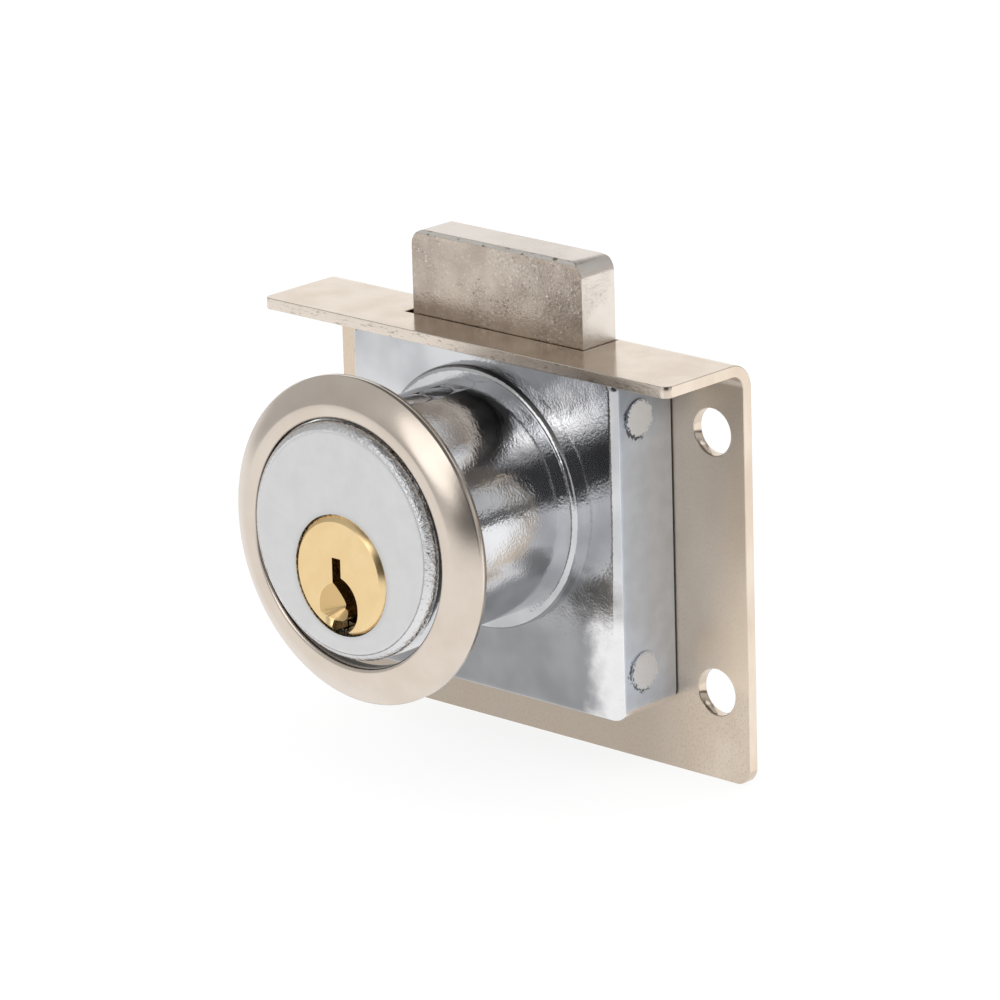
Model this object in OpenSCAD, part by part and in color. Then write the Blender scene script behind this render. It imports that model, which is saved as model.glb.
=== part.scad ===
// Half-mortise cabinet lock: a die-cast case with its round barrel on a bent steel plate,
// a flat bolt that rises through the flange, and a five-pin cylinder with a loose trim ring.
// The origin is on the barrel's axis, in the plane of the plate's front face.
// The front of the lock faces -Y, and the bolt rises along +Z. All sizes are in millimetres.

/* [Barrel] */
// Diameter of the barrel that fills the hole in the board
barrel_d = 22.2; // [21.6:0.2:24]
// Reach of the barrel's face in front of the plate
barrel_reach = 26.4; // [26:0.2:34]
// Rounding of the barrel's front edge
barrel_edge = 1; // [0.4:0.1:1.4]
// Length of the barrel's nose, which tapers to lead into the board's hole
nose_len = 3.1; // [3:0.05:3.4]
// Taper of the nose's radius
nose_taper = 0.05; // [0.03:0.01:0.1]
// Step of the low collar round the barrel's root
collar_step = 1.3; // [0.8:0.1:2]
// Height of the collar above the case
collar_h = 1.3; // [1:0.1:1.8]
// Rounding of the collar's edge
collar_edge = 0.6; // [0.3:0.1:0.8]

/* [Case] */
// Width of the case
case_w = 32.8; // [31.6:0.2:36]
// Height of the case
case_h = 32.8; // [31:0.2:34]
// Wall of the case in front of the bolt
front_wall = 1.8; // [1.4:0.1:2.6]
// Wall of the case under the bolt's pocket
bottom_wall = 1.9; // [1.4:0.1:2.6]
// Walls left round the cored-out sides
side_wall = 1.3; // [1:0.1:1.6]
// Rounding of the case's upright corners
case_corner = 1.6; // [1.2:0.1:2.4]
// Rounding of the case's front edges
case_edge = 0.9; // [0.4:0.1:1.1]
// Diameter of the round mould marks on the case's sides
mark_d = 3.6; // [2.4:0.2:4.4]
// Distance of the mould marks from the case's top and bottom
mark_inset = 4.5; // [3:0.1:8]
// Distance of the mould marks' centres in front of the plate
mark_reach = 4.4; // [3:0.1:5]
// Height of the mould marks
mark_h = 0.15; // [0.1:0.05:0.3]

/* [Mounting plate] */
// Width of the plate
plate_w = 50; // [49:0.5:60]
// Height of the plate with its flange
plate_h = 40; // [39:0.5:50]
// Thickness of the sheet
plate_t = 1.1; // [0.9:0.1:1.5]
// Reach of the flange in front of the plate
flange_reach = 10.2; // [8.6:0.2:14]
// Inner radius of the bend
bend_r = 1.4; // [0.8:0.1:1.8]
// Rounding of the plate's lower corners
plate_corner = 1.6; // [0.8:0.2:3]
// Rounding of the flange's front corners
flange_corner = 0.8; // [0.4:0.1:2]
// Height of the flange's top face above the barrel's axis
flange_up = 15.1; // [14.6:0.1:16]

/* [Screw holes] */
// Diameter of the screw holes
screw_d = 4.4; // [3.4:0.1:4.8]
// Distance from the plate's side edges to the screw holes' centres
screw_edge = 3.8; // [3.4:0.1:4.6]
// Distance between the screw holes up the plate
screw_up = 24.6; // [20:0.2:28]
// Distance from the flange's top face down to the upper holes
screw_drop = 7.1; // [5.6:0.1:8.4]

/* [Rivet studs] */
// Diameter of the case's studs that are riveted over behind the plate
stud_d = 2.6; // [2:0.1:3]
// Metal round each stud inside the case
stud_boss = 1.1; // [0.8:0.1:1.3]
// Distance from the case's top and bottom to the studs' centres
stud_inset = 5.6; // [5:0.1:9]
// Depth of the riveted flare at a stud's end
stud_flare = 0.5; // [0.3:0.05:0.7]

/* [Bolt] */
// Width of the bolt
bolt_w = 21; // [18:0.2:22]
// Thickness of the bolt's head
bolt_t = 4.4; // [4:0.1:5]
// Travel of the bolt for half a turn of the plug
throw = 8; // [6:0.5:9]
// Rounding of the bolt's top corners
bolt_corner = 1.5; // [0.6:0.1:2.5]
// Bevel along the bolt's top edges
bolt_bevel = 0.3; // [0.1:0.1:0.6]
// Distance from the plate to the back of the bolt's head
bolt_setback = 1.25; // [1.1:0.05:1.6]
// Side play of the bolt in its slot and pocket
bolt_play = 0.6; // [0.2:0.05:0.8]
// Distance that the bolt's shoulder stays below the flange
shoulder_drop = 1.9; // [1.7:0.1:3]

/* [Plug] */
// Diameter of the plug's body
plug_d = 10; // [9.4:0.1:10.4]
// Diameter of the plug's face
plug_face_d = 11.1; // [10.8:0.1:11.6]
// Thickness of the plug's face
plug_face_t = 2.1; // [1.5:0.1:2.4]
// Distance of the plug's axis below the barrel's axis
plug_drop = 3.05; // [2.6:0.05:3.3]
// Height of the plug's face above the barrel's face
plug_proud = 0.3; // [0.1:0.05:0.8]
// Bevel round the plug's face
plug_bevel = 0.5; // [0.2:0.1:0.7]
// Width across the flats of the plug's square tail
tail_w = 4.2; // [3.4:0.1:4.6]

/* [Keyway] */
// Width of the straight upper part of the keyway
key_w = 1.05; // [0.8:0.05:1.3]
// Height of the keyway's top above the plug's axis
key_top = 1.65; // [1.2:0.05:2]
// Offset of the straight part from the plug's axis
key_shift = 0.25; // [0:0.05:0.4]
// Radius of the keyway's curved right-hand wall
ward_out = 2.75; // [2.5:0.05:2.9]
// Offset of the curved wall's centre from the plug's axis
ward_shift = 0.5; // [0.4:0.05:0.8]
// Distance of the curved wall's centre below the plug's axis
ward_drop = 2.75; // [2.6:0.05:3]
// Offset of the keyway's left-hand wall from the plug's axis
rib_shift = 0.35; // [0.2:0.05:0.5]
// Radius of the left-hand wall, which bulges a little to the right
rib_r = 6; // [4.5:0.5:8]
// Radius of the rib that stands out of the left-hand wall
rib_nose = 0.5; // [0.4:0.05:0.6]
// Distance of that rib below the plug's axis
rib_drop = 3.9; // [3.7:0.05:4.1]
// Width of the keyway's mouth in the plug's lower edge
mouth_w = 1.9; // [1.4:0.1:2.2]
// Offset of the mouth from the plug's axis
mouth_shift = 0.2; // [0:0.05:0.4]
// Radius of the hollow that guides the key's tip
guide_r = 2.4; // [2:0.1:2.6]
// Depth of the hollow that guides the key's tip
guide_t = 1.2; // [0.6:0.1:1.6]
// Radius of the hollow's bottom
guide_tip = 0.2; // [0.1:0.05:0.4]
// Distance of the hollow's centre below the plug's axis
guide_drop = 3.05; // [2.8:0.05:3.2]

/* [Cam] */
// Thickness of the cam disc
cam_t = 2.1; // [1.6:0.1:2.4]
// Diameter of the crank pin
crank_d = 2.6; // [2.2:0.1:2.8]
// Metal of the cam disc outside the crank pin
cam_rim = 1.1; // [0.8:0.1:1.3]
// Length of the crank pin behind the cam disc
crank_len = 4.2; // [3:0.1:5]

/* [Pins and springs] */
// Diameter of the pins
pin_d = 2; // [1.6:0.1:2.3]
// Metal left before the first pin chamber and behind the last
pin_wall = 1; // [0.6:0.1:1.6]
// Length of the driver pins
driver_len = 3; // [2.4:0.1:3.4]
// Lengths of the five key pins, front to back
key_pin_lengths = [3.6, 4.4, 4, 4.8, 3.8];
// Depth of the pin chambers' floors below the plug's axis
floor_drop = 1.4; // [1.1:0.1:2]
// Diameter of the spring wire
wire_d = 0.3; // [0.2:0.02:0.32]
// Clearance between the springs and their chambers' walls
spring_play = 0.15; // [0.1:0.05:0.3]
// Thickness of the caps over the chambers
cap_t = 1.4; // [1:0.1:1.8]
// Length of a pin's tapered tip
tip_h = 0.6; // [0.3:0.1:0.9]
// Diameter of a pin's blunt end
tip_d = 0.9; // [0.5:0.1:1.2]

/* [Trim ring] */
// Outer diameter of the trim ring
ring_d = 30.4; // [29.6:0.2:34]
// Play of the trim ring round the barrel
ring_play = 0.4; // [0.2:0.05:0.6]
// Width of the flat land round the ring's opening
ring_land = 1.3; // [1:0.1:1.6]
// Fall of the ring's face from the land to the rim
ring_rise = 1.5; // [1:0.1:2]
// Thickness of the ring's sheet
ring_sheet = 0.8; // [0.6:0.05:1]
// Height of the ring's rim
ring_rim = 0.6; // [0.4:0.1:0.8]
// Depth of the lip that is turned in round the barrel
ring_lip = 1.6; // [1.3:0.1:2.4]
// Distance of the land behind the barrel's face
ring_setback = 0.85; // [0.4:0.05:6]

/* [Fits] */
// Radial clearance of what turns or slides in a bore
run_fit = 0.05; // [0.03:0.01:0.08]
// Clearance of the bolt, front and back
slide_gap = 0.15; // [0.1:0.05:0.25]
// Play of the plug along its axis, each way
end_play = 0.1; // [0.06:0.02:0.16]
// Gap left where two fixed pieces seat
seat_gap = 0.03; // [0.02:0.01:0.06]

/* [Hidden] */
$fn = 48;
// Overlap of shapes that are joined, and how far cutting shapes run past what they cut
eps = 0.01;
past = 1;

nickel = [0.86, 0.82, 0.77];
zinc = [0.62, 0.63, 0.65];
brass = [0.92, 0.78, 0.52];
steel = [0.7, 0.7, 0.72];

// Heights are along Z from the barrel's axis, and reaches are distances in front of the plate
barrel_r = barrel_d / 2;
collar_r = barrel_r + collar_step;
pocket_reach = bolt_setback + bolt_t + slide_gap;
case_reach = pocket_reach + front_wall;
case_top = flange_up - plate_t - seat_gap;
case_bottom = case_top - case_h;
case_mid = (case_top + case_bottom) / 2;
pocket_floor = case_bottom + bottom_wall;
pocket_w = bolt_w + 2 * bolt_play;
core_w = (case_w - pocket_w) / 2 - 2 * side_wall;
core_x = (case_w + pocket_w) / 4;
core_deep = pocket_reach;
core_low = case_bottom + bottom_wall;
core_high = case_top - side_wall - bend_r;
plate_bottom = flange_up - plate_h;
bend_room = 0.3;
screw_top = flange_up - screw_drop;
screw_across = plate_w - 2 * screw_edge;
stud_r = stud_d / 2;
stud_boss_r = stud_r + stud_boss;
stud_across = 2 * core_x;
stud_top = case_top - stud_inset;
stud_up = case_h - 2 * stud_inset;

// The bolt is drawn locked, lying against the right side of its slot as the photograph shows it
bolt_bottom_gap = 0.4;
bolt_h = flange_up - pocket_floor - bolt_bottom_gap;
bolt_top = flange_up + throw;
bolt_lean = bolt_play - slide_gap;
bolt_shoulder = flange_up - plate_t - shoulder_drop;

// The crank pin stands at the top of its circle when the bolt is out
plug_z = -plug_drop;
plug_r = plug_d / 2;
plug_face_r = plug_face_d / 2;
crank_r = throw / 2;
crank_pin_r = crank_d / 2;
cam_r = crank_r + crank_pin_r + cam_rim;
cam_gap = 0.3;
cam_back = pocket_reach + cam_gap;
cam_front = cam_back + cam_t;
cam_seat = cam_front + end_play;
face_back = barrel_reach + plug_proud - plug_face_t;
face_seat = face_back - end_play;

// The bolt moves at a steady rate while the crank pin follows a circle,
// so the bolt's slot is opened by the most that the two differ
slot_peak = asin(2 / PI);
slot_spread = crank_r * (cos(slot_peak) - 1 + slot_peak / 90);
slot_r = crank_pin_r + slot_spread + slide_gap;
slot_half = crank_r + crank_pin_r + slide_gap + bolt_lean - slot_r;

// The pins share the plug's length evenly, with the same wall before the first and behind the last.
// They are drawn level with the plug's edge, as the right key sets them
pin_count = 5;
pin_r = pin_d / 2;
chamber_r = pin_r + run_fit;
first_pin = face_seat - pin_wall - chamber_r;
last_pin = cam_seat + pin_wall + chamber_r;
pin_pitch = (first_pin - last_pin) / (pin_count - 1);
cap_r = chamber_r + (pin_pitch - 2 * chamber_r) / 3;
shear_z = plug_z + plug_r;
key_pin_top = plug_z + sqrt(pow(plug_r, 2) - pow(pin_r, 2)) - seat_gap;
driver_bottom = shear_z + run_fit;
driver_top = driver_bottom + driver_len;
cap_bottom = barrel_r - cap_t;
spring_bottom = driver_top + seat_gap;
spring_top = cap_bottom - seat_gap;
chamber_floor = plug_z - floor_drop;
keyway_back = cam_seat + pin_wall / 2;

// Each spring is one wire wound round its chamber's axis
spring_curls = 6;
spring_rings = 8;
spring_sides = 6;
spring_mean_r = chamber_r - spring_play - wire_d / 2;
spring_rise = spring_top - spring_bottom - wire_d;

// The loose ring hangs on the top of the barrel
ring_hang = run_fit;
ring_sag = ring_play - ring_hang;
ring_r = ring_d / 2;
ring_bore_r = barrel_r + ring_play;
ring_front = barrel_reach - ring_setback;
lip_edge = 0.4;
// The ring's face falls away more steeply toward the rim by this power
dome = 1.35;

// Reach of pin number n, counted from the front
function pin_reach(n) = first_pin - (n - 1) * pin_pitch;

// Points of an arc about a centre, from one angle to another
function arc(centre, r, from, to, steps = 6) = [
    for (i = [0:steps])
        centre + r * [cos(from + (to - from) * i / steps), sin(from + (to - from) * i / steps)]
];

// Turns a shape drawn flat to face the front: its Y becomes height and its Z becomes reach
module facing() {
    rotate([90, 0, 0]) children();
}

// A disc or rod along the reach, centred at x and height z
module rod(r, from, to, x = 0, z = 0) {
    facing() translate([x, z, from]) cylinder(r = r, h = to - from);
}

// A block given by its lowest and highest corners
module block(low, high) {
    translate(low) cube(high - low);
}

// A rectangle whose lower or upper corners only are rounded
module half_rounded_rect(w, low, high, r, round_low = true) {
    square_low = round_low ? low + r : low;
    square_high = round_low ? high : high - r;
    corner_y = round_low ? low + r : high - r;
    translate([-w / 2, square_low]) square([w, square_high - square_low]);
    translate([-w / 2 + r, low]) square([w - 2 * r, high - low]);
    for (x = [-w / 2 + r, w / 2 - r])
        translate([x, corner_y]) circle(r);
}

// The section of a slab's outer edge: its front corner is rounded
module edge_section(depth, width, r) {
    square([width - r, depth]);
    square([width, depth - r]);
    translate([width - r, depth - r]) intersection() {
        circle(r);
        square(r);
    }
}

// A slab with rounded upright corners and rounded front edges
module soft_slab(w, low, high, depth, corner, edge) {
    x = w / 2 - corner;
    y = (high - low) / 2 - corner;
    translate([0, (low + high) / 2, 0]) {
        for (sx = [-x, x], sy = [-y, y])
            translate([sx, sy, 0]) rotate_extrude() edge_section(depth, corner, edge);
        for (side = [0, 1]) mirror([side, 0, 0])
            translate([x, y, 0]) rotate([90, 0, 0]) linear_extrude(2 * y)
                edge_section(depth, corner, edge);
        for (side = [0, 1]) mirror([0, side, 0])
            translate([-x, y, 0]) rotate([90, 0, 90]) linear_extrude(2 * x)
                edge_section(depth, corner, edge);
        translate([-x, -y, 0]) cube([2 * x, 2 * y, depth]);
    }
}

// The four places of a rectangle of holes or studs
module four_places(across, top, up) {
    for (x = [-across / 2, across / 2], z = [top, top - up])
        translate([x, 0, z]) children();
}

// A stud through the plate, flared at its back end
module stud(gap) {
    through = plate_t - stud_flare;
    rotate([-90, 0, 0]) translate([0, 0, -eps]) cylinder(r = stud_r + gap, h = through + 2 * eps);
    rotate([-90, 0, 0]) translate([0, 0, through])
        cylinder(r1 = stud_r + gap, r2 = stud_r + stud_flare + gap, h = stud_flare);
}

// The bent steel plate: its upright wall with four screw holes, and the flange with the bolt's slot
module mounting_plate() {
    outer_r = bend_r + plate_t;
    color(nickel) difference() {
        union() {
            rotate([90, 0, 0]) translate([0, 0, -plate_t]) linear_extrude(plate_t)
                half_rounded_rect(plate_w, plate_bottom, flange_up - outer_r, plate_corner);
            translate([-plate_w / 2, -bend_r, flange_up - outer_r]) rotate([90, 0, 90])
                linear_extrude(plate_w) intersection() {
                    difference() {
                        circle(outer_r);
                        circle(bend_r);
                    }
                    square(outer_r);
                }
            translate([0, 0, flange_up - plate_t]) linear_extrude(plate_t)
                half_rounded_rect(plate_w, -flange_reach, -bend_r, flange_corner);
        }
        four_places(screw_across, screw_top, screw_up)
            rotate([-90, 0, 0]) translate([0, 0, -past]) cylinder(d = screw_d, h = plate_t + 2 * past);
        four_places(stud_across, stud_top, stud_up) stud(seat_gap);
        block([-pocket_w / 2, -pocket_reach, flange_up - outer_r],
            [pocket_w / 2, -bolt_setback + slide_gap, flange_up + past]);
    }
}

// The hollows cast into the case: the bolt's pocket, and the cored-out sides round the stud bosses
module case_hollows() {
    block([-pocket_w / 2, -pocket_reach, pocket_floor], [pocket_w / 2, past, case_top + past]);
    difference() {
        for (side = [-1, 1]) translate([side * core_x, 0, 0])
            block([-core_w / 2, -core_deep, core_low], [core_w / 2, past, core_high]);
        four_places(stud_across, stud_top, stud_up)
            rod(stud_boss_r, -2 * past, core_deep + 2 * past);
    }
}

// The bore that runs through the barrel: the face's seat, the plug's bore and the cam's seat
module cylinder_bore() {
    rod(plug_face_r + 2 * run_fit, face_seat, barrel_reach + past, 0, plug_z);
    rod(plug_r + run_fit, cam_seat - past, face_seat + past, 0, plug_z);
    rod(cam_r + cam_gap, pocket_reach - past, cam_seat, 0, plug_z);
}

// The section of the barrel: a straight wall, a slightly tapered nose and a rounded front edge
module barrel_section() {
    depth = barrel_reach - case_reach + past;
    tip_r = barrel_r - nose_taper;
    polygon([
        [0, 0],
        [barrel_r, 0],
        [barrel_r, depth - nose_len],
        [tip_r, depth - barrel_edge],
        [tip_r - barrel_edge, depth - barrel_edge],
        [tip_r - barrel_edge, depth],
        [0, depth]
    ]);
    translate([tip_r - barrel_edge, depth - barrel_edge]) intersection() {
        circle(barrel_edge);
        square(barrel_edge);
    }
}

// The die-cast case with its barrel, collar, studs, bolt pocket, plug bore and pin chambers
module case() {
    relief = (bend_r + bend_room) * sqrt(2);
    color(zinc) difference() {
        union() {
            facing() soft_slab(case_w, case_bottom, case_top, case_reach, case_corner, case_edge);
            facing() translate([0, 0, case_reach - past]) rotate_extrude()
                edge_section(collar_h + past, collar_r, collar_edge);
            facing() translate([0, 0, case_reach - past]) rotate_extrude() barrel_section();
            four_places(stud_across, stud_top, stud_up) stud(0);
            for (side = [0, 1], z = [case_bottom + mark_inset, case_top - mark_inset])
                mirror([side, 0, 0]) translate([case_w / 2 - past, -mark_reach, z])
                    rotate([0, 90, 0]) cylinder(d = mark_d, h = past + mark_h);
        }
        case_hollows();
        cylinder_bore();
        for (n = [1:pin_count]) pin_place(n) {
            translate([0, 0, plug_z]) cylinder(r = chamber_r, h = cap_bottom - plug_z + eps);
            translate([0, 0, cap_bottom]) cylinder(r = cap_r + seat_gap, h = cap_t + past);
        }
        translate([0, 0, case_top]) rotate([45, 0, 0])
            cube([case_w + 2 * past, relief, relief], center = true);
    }
}

// Places its children on the axis of pin number n
module pin_place(n) {
    translate([0, -pin_reach(n), 0]) children();
}

// The five caps pressed into the top of the barrel, flush with its surface
module chamber_caps() {
    color(zinc) intersection() {
        union() {
            for (n = [1:pin_count]) pin_place(n)
                translate([0, 0, cap_bottom]) cylinder(r = cap_r, h = cap_t + past);
        }
        facing() translate([0, 0, case_reach - past]) rotate_extrude() barrel_section();
    }
}

// The bolt: its head rises through the flange, and its thicker foot rides between case and plate
module bolt() {
    slot_z = plug_z + crank_r;
    head_front = bolt_setback + bolt_t;
    color(nickel) difference() {
        intersection() {
            facing() translate([bolt_lean, 0, slide_gap]) linear_extrude(head_front - slide_gap)
                half_rounded_rect(bolt_w, bolt_top - bolt_h, bolt_top, bolt_corner, false);
            translate([-bolt_w, 0, 0]) rotate([90, 0, 90]) linear_extrude(2 * bolt_w) polygon([
                [-slide_gap, bolt_top - bolt_h],
                [-slide_gap, bolt_shoulder],
                [-bolt_setback, bolt_shoulder],
                [-bolt_setback, bolt_top - bolt_bevel],
                [-bolt_setback - bolt_bevel, bolt_top],
                [-head_front + bolt_bevel, bolt_top],
                [-head_front, bolt_top - bolt_bevel],
                [-head_front, bolt_top - bolt_h]
            ]);
        }
        facing() translate([bolt_lean, slot_z, -past]) linear_extrude(head_front + 2 * past) {
            translate([-slot_half, -slot_r]) square([2 * slot_half, 2 * slot_r]);
            for (x = [-slot_half, slot_half]) translate([x, 0]) circle(slot_r);
        }
    }
}

// The keyway's outline, seen from the front, about the plug's axis
module keyway_outline() {
    left = -key_shift - key_w / 2;
    rib_top = -ward_drop + rib_r / 3;
    translate([left, rib_top]) square([key_w, key_top - rib_top]);
    difference() {
        translate([-ward_shift, -ward_drop]) circle(ward_out);
        translate([-rib_shift - rib_r, -ward_drop]) circle(rib_r);
        translate([-rib_shift, -rib_drop]) circle(rib_nose);
        translate([-rib_shift - rib_r, -rib_drop - rib_nose]) square([rib_r, 2 * rib_nose]);
        translate([left - plug_r, rib_top]) square(plug_r);
    }
    translate([-mouth_w / 2 - mouth_shift, -plug_face_r - past])
        square([mouth_w, plug_face_r + past - rib_drop - rib_nose]);
}

// The brass plug with its bevelled face, square tail, keyway and five pin chambers
module plug() {
    color(brass) difference() {
        union() {
            rod(plug_r, cam_front, face_back + eps, 0, plug_z);
            rod(plug_face_r, face_back, barrel_reach + plug_proud - plug_bevel, 0, plug_z);
            facing() translate([0, plug_z, barrel_reach + plug_proud - plug_bevel])
                cylinder(r1 = plug_face_r, r2 = plug_face_r - plug_bevel, h = plug_bevel);
            block([-tail_w / 2, -cam_front - eps, plug_z - tail_w / 2],
                [tail_w / 2, -cam_back, plug_z + tail_w / 2]);
        }
        facing() translate([0, plug_z, keyway_back])
            linear_extrude(barrel_reach + plug_proud + past - keyway_back) keyway_outline();
        facing() translate([-key_shift / 2, plug_z - guide_drop, barrel_reach + plug_proud - guide_t])
            cylinder(r1 = guide_tip, r2 = guide_r, h = guide_t + eps);
        for (n = [1:pin_count]) pin_place(n)
            translate([0, 0, chamber_floor]) cylinder(r = chamber_r, h = plug_r + floor_drop + past);
    }
}

// The cam disc on the plug's tail, with the crank pin that works in the bolt's slot
module cam() {
    hole = tail_w + 2 * seat_gap;
    color(steel) {
        difference() {
            union() {
                rod(cam_r, cam_back, cam_front, 0, plug_z);
                rod(crank_pin_r, cam_back - crank_len, cam_back + eps, 0, plug_z + crank_r);
            }
            block([-hole / 2, -cam_front - past, plug_z - hole / 2],
                [hole / 2, -cam_back + eps, plug_z + hole / 2]);
        }
    }
}

// The pressed trim ring: a turned-in lip, a flat land and a face that falls away to the rim
module trim_ring() {
    land_r = ring_bore_r + ring_land;
    rim_back = ring_front - ring_rise - ring_rim;
    steps = 6;
    face = [
        for (i = [0:steps])
            [land_r + (ring_r - land_r) * i / steps, ring_front - ring_rise * pow(i / steps, dome)]
    ];
    under = [
        for (i = [steps:-1:0])
            [land_r + (ring_r - ring_sheet - land_r) * i / steps,
                ring_front - ring_sheet - (ring_rise + ring_rim - ring_sheet) * pow(i / steps, dome)]
    ];
    color(nickel) translate([0, 0, -ring_sag]) facing() rotate_extrude($fn = 96) polygon(concat(
        [[ring_bore_r, ring_front - ring_lip]],
        arc([ring_bore_r + lip_edge, ring_front - lip_edge], lip_edge, 180, 90),
        face,
        [[ring_r, rim_back]],
        under,
        [[ring_bore_r + ring_sheet, ring_front - ring_sheet]],
        [[ring_bore_r + ring_sheet, ring_front - ring_lip]]
    ));
}

// Key pin number n: its flat top is at the shear line, and its tip hangs in the keyway
module key_pin(n) {
    bottom = key_pin_top - key_pin_lengths[n - 1];
    color(brass) pin_place(n) {
        translate([0, 0, bottom + tip_h]) cylinder(r = pin_r, h = key_pin_top - bottom - tip_h);
        translate([0, 0, bottom]) cylinder(r1 = tip_d / 2, r2 = pin_r, h = tip_h + eps);
    }
}

// Driver pin number n, which the spring presses down on the key pin
module driver_pin(n) {
    color(steel) pin_place(n)
        translate([0, 0, driver_bottom]) cylinder(r = pin_r, h = driver_len);
}

// The centre line of a chamber spring, along Z from zero
function spring_point(i) = [
    spring_mean_r * cos(360 * i / spring_rings),
    spring_mean_r * sin(360 * i / spring_rings),
    wire_d / 2 + spring_rise * i / (spring_curls * spring_rings)
];

// One ring of points round the wire at step i
function spring_ring(i) = [
    for (k = [0:spring_sides - 1])
        spring_point(i) + wire_d / 2 * (
            cos(360 * k / spring_sides) * [cos(360 * i / spring_rings), sin(360 * i / spring_rings), 0]
            + sin(360 * k / spring_sides) * [0, 0, 1])
];

// The least distance between turns, measured on the centre line, less the wire
spring_gap = min([
    for (i = [0:spring_rings * (spring_curls - 1)], j = [spring_rings - 2:spring_rings + 2])
        norm(spring_point(i + j) - spring_point(i))
]) - wire_d;
echo(spring_gap = spring_gap);

// Chamber spring number n: one unbroken wire from the driver pin to the cap
module pin_spring(n) {
    last = spring_curls * spring_rings;
    sides = spring_sides;
    points = [for (i = [0:last], p = spring_ring(i)) p];
    walls = [
        for (i = [0:last - 1], k = [0:sides - 1], half = [0, 1])
            let (a = i * sides + k, b = i * sides + (k + 1) % sides)
            half == 0 ? [a, b, b + sides] : [a, b + sides, a + sides]
    ];
    ends = concat(
        [for (k = [1:sides - 2]) [0, k + 1, k]],
        [for (k = [1:sides - 2]) [last * sides, last * sides + k, last * sides + k + 1]]
    );
    color(steel) pin_place(n) translate([0, 0, spring_bottom])
        polyhedron(points, concat(walls, ends), convexity = 8);
}

mounting_plate();
case();
chamber_caps();
bolt();
plug();
cam();
trim_ring();
key_pin(1);  // key_pin_1
key_pin(2);  // key_pin_2
key_pin(3);  // key_pin_3
key_pin(4);  // key_pin_4
key_pin(5);  // key_pin_5
driver_pin(1);  // driver_pin_1
driver_pin(2);  // driver_pin_2
driver_pin(3);  // driver_pin_3
driver_pin(4);  // driver_pin_4
driver_pin(5);  // driver_pin_5
pin_spring(1);  // pin_spring_1
pin_spring(2);  // pin_spring_2
pin_spring(3);  // pin_spring_3
pin_spring(4);  // pin_spring_4
pin_spring(5);  // pin_spring_5
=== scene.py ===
"""Looks of a half-mortise cabinet lock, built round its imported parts."""

import logging
import math
from collections.abc import Callable, Mapping, Sequence
from dataclasses import dataclass
from enum import Enum

import bmesh
import bpy
from mathutils import Matrix, Vector


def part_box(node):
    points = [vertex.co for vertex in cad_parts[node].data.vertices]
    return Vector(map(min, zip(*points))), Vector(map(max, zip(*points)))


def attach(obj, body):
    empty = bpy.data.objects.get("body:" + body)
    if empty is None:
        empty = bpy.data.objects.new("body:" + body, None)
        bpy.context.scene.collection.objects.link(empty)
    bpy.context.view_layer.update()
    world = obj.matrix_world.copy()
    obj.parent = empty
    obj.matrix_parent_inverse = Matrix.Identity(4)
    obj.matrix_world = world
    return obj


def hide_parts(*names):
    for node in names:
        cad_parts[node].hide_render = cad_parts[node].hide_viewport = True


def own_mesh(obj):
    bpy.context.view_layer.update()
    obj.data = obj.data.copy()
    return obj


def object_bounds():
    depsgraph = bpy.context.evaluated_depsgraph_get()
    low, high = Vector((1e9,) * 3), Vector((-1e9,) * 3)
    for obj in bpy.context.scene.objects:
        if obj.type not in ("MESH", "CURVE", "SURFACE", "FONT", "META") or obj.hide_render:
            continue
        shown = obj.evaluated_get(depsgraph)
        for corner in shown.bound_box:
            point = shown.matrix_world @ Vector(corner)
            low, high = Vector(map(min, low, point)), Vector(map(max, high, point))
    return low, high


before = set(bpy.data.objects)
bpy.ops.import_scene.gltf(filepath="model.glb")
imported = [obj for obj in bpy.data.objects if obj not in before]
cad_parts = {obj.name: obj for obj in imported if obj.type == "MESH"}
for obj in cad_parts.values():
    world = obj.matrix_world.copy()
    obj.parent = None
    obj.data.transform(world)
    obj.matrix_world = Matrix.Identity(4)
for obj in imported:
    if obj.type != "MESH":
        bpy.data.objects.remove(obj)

CAD_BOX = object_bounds()
MM = 0.001
log = logging.getLogger("cabinet_lock")

Colour = tuple[float, float, float]
Point = tuple[float, float, float]
Band = tuple[float, float]

BLACK: Colour = (0.0, 0.0, 0.0)
WHITE: Colour = (1.0, 1.0, 1.0)
UP = Vector((0.0, 0.0, 1.0))


class Body(Enum):
    """The bodies that new pieces ride on."""

    HOUSING = "housing"
    RING = "trim_ring"


class Slot(Enum):
    """The record's material slots."""

    PLATE = "plate_nickel"
    CASTING = "chrome_casting"
    BOLT = "bolt_nickel"
    PLUG = "plug_brass"
    CAM = "cam_steel"
    RING = "ring_nickel"
    KEY_PIN = "pin_brass"
    DRIVER = "pin_steel"
    SPRING = "spring_steel"


class Along(Enum):
    """The axis that a rubbed or drawn surface has its lines along."""

    X = 0
    Y = 1
    Z = 2


@dataclass(frozen=True)
class Grain:
    """A soft random pattern, in metres.

    The width is that of one grain, and the depth is what it stands for as a bump. Detail counts
    the finer layers and rough is their strength. The grains are longer along one axis by a factor,
    and another seed gives another pattern.
    """

    width: float
    depth: float = 0.0
    detail: float = 2.0
    rough: float = 0.5
    along: Along = Along.Z
    longer: float = 1.0
    seed: float = 0.0


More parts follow.
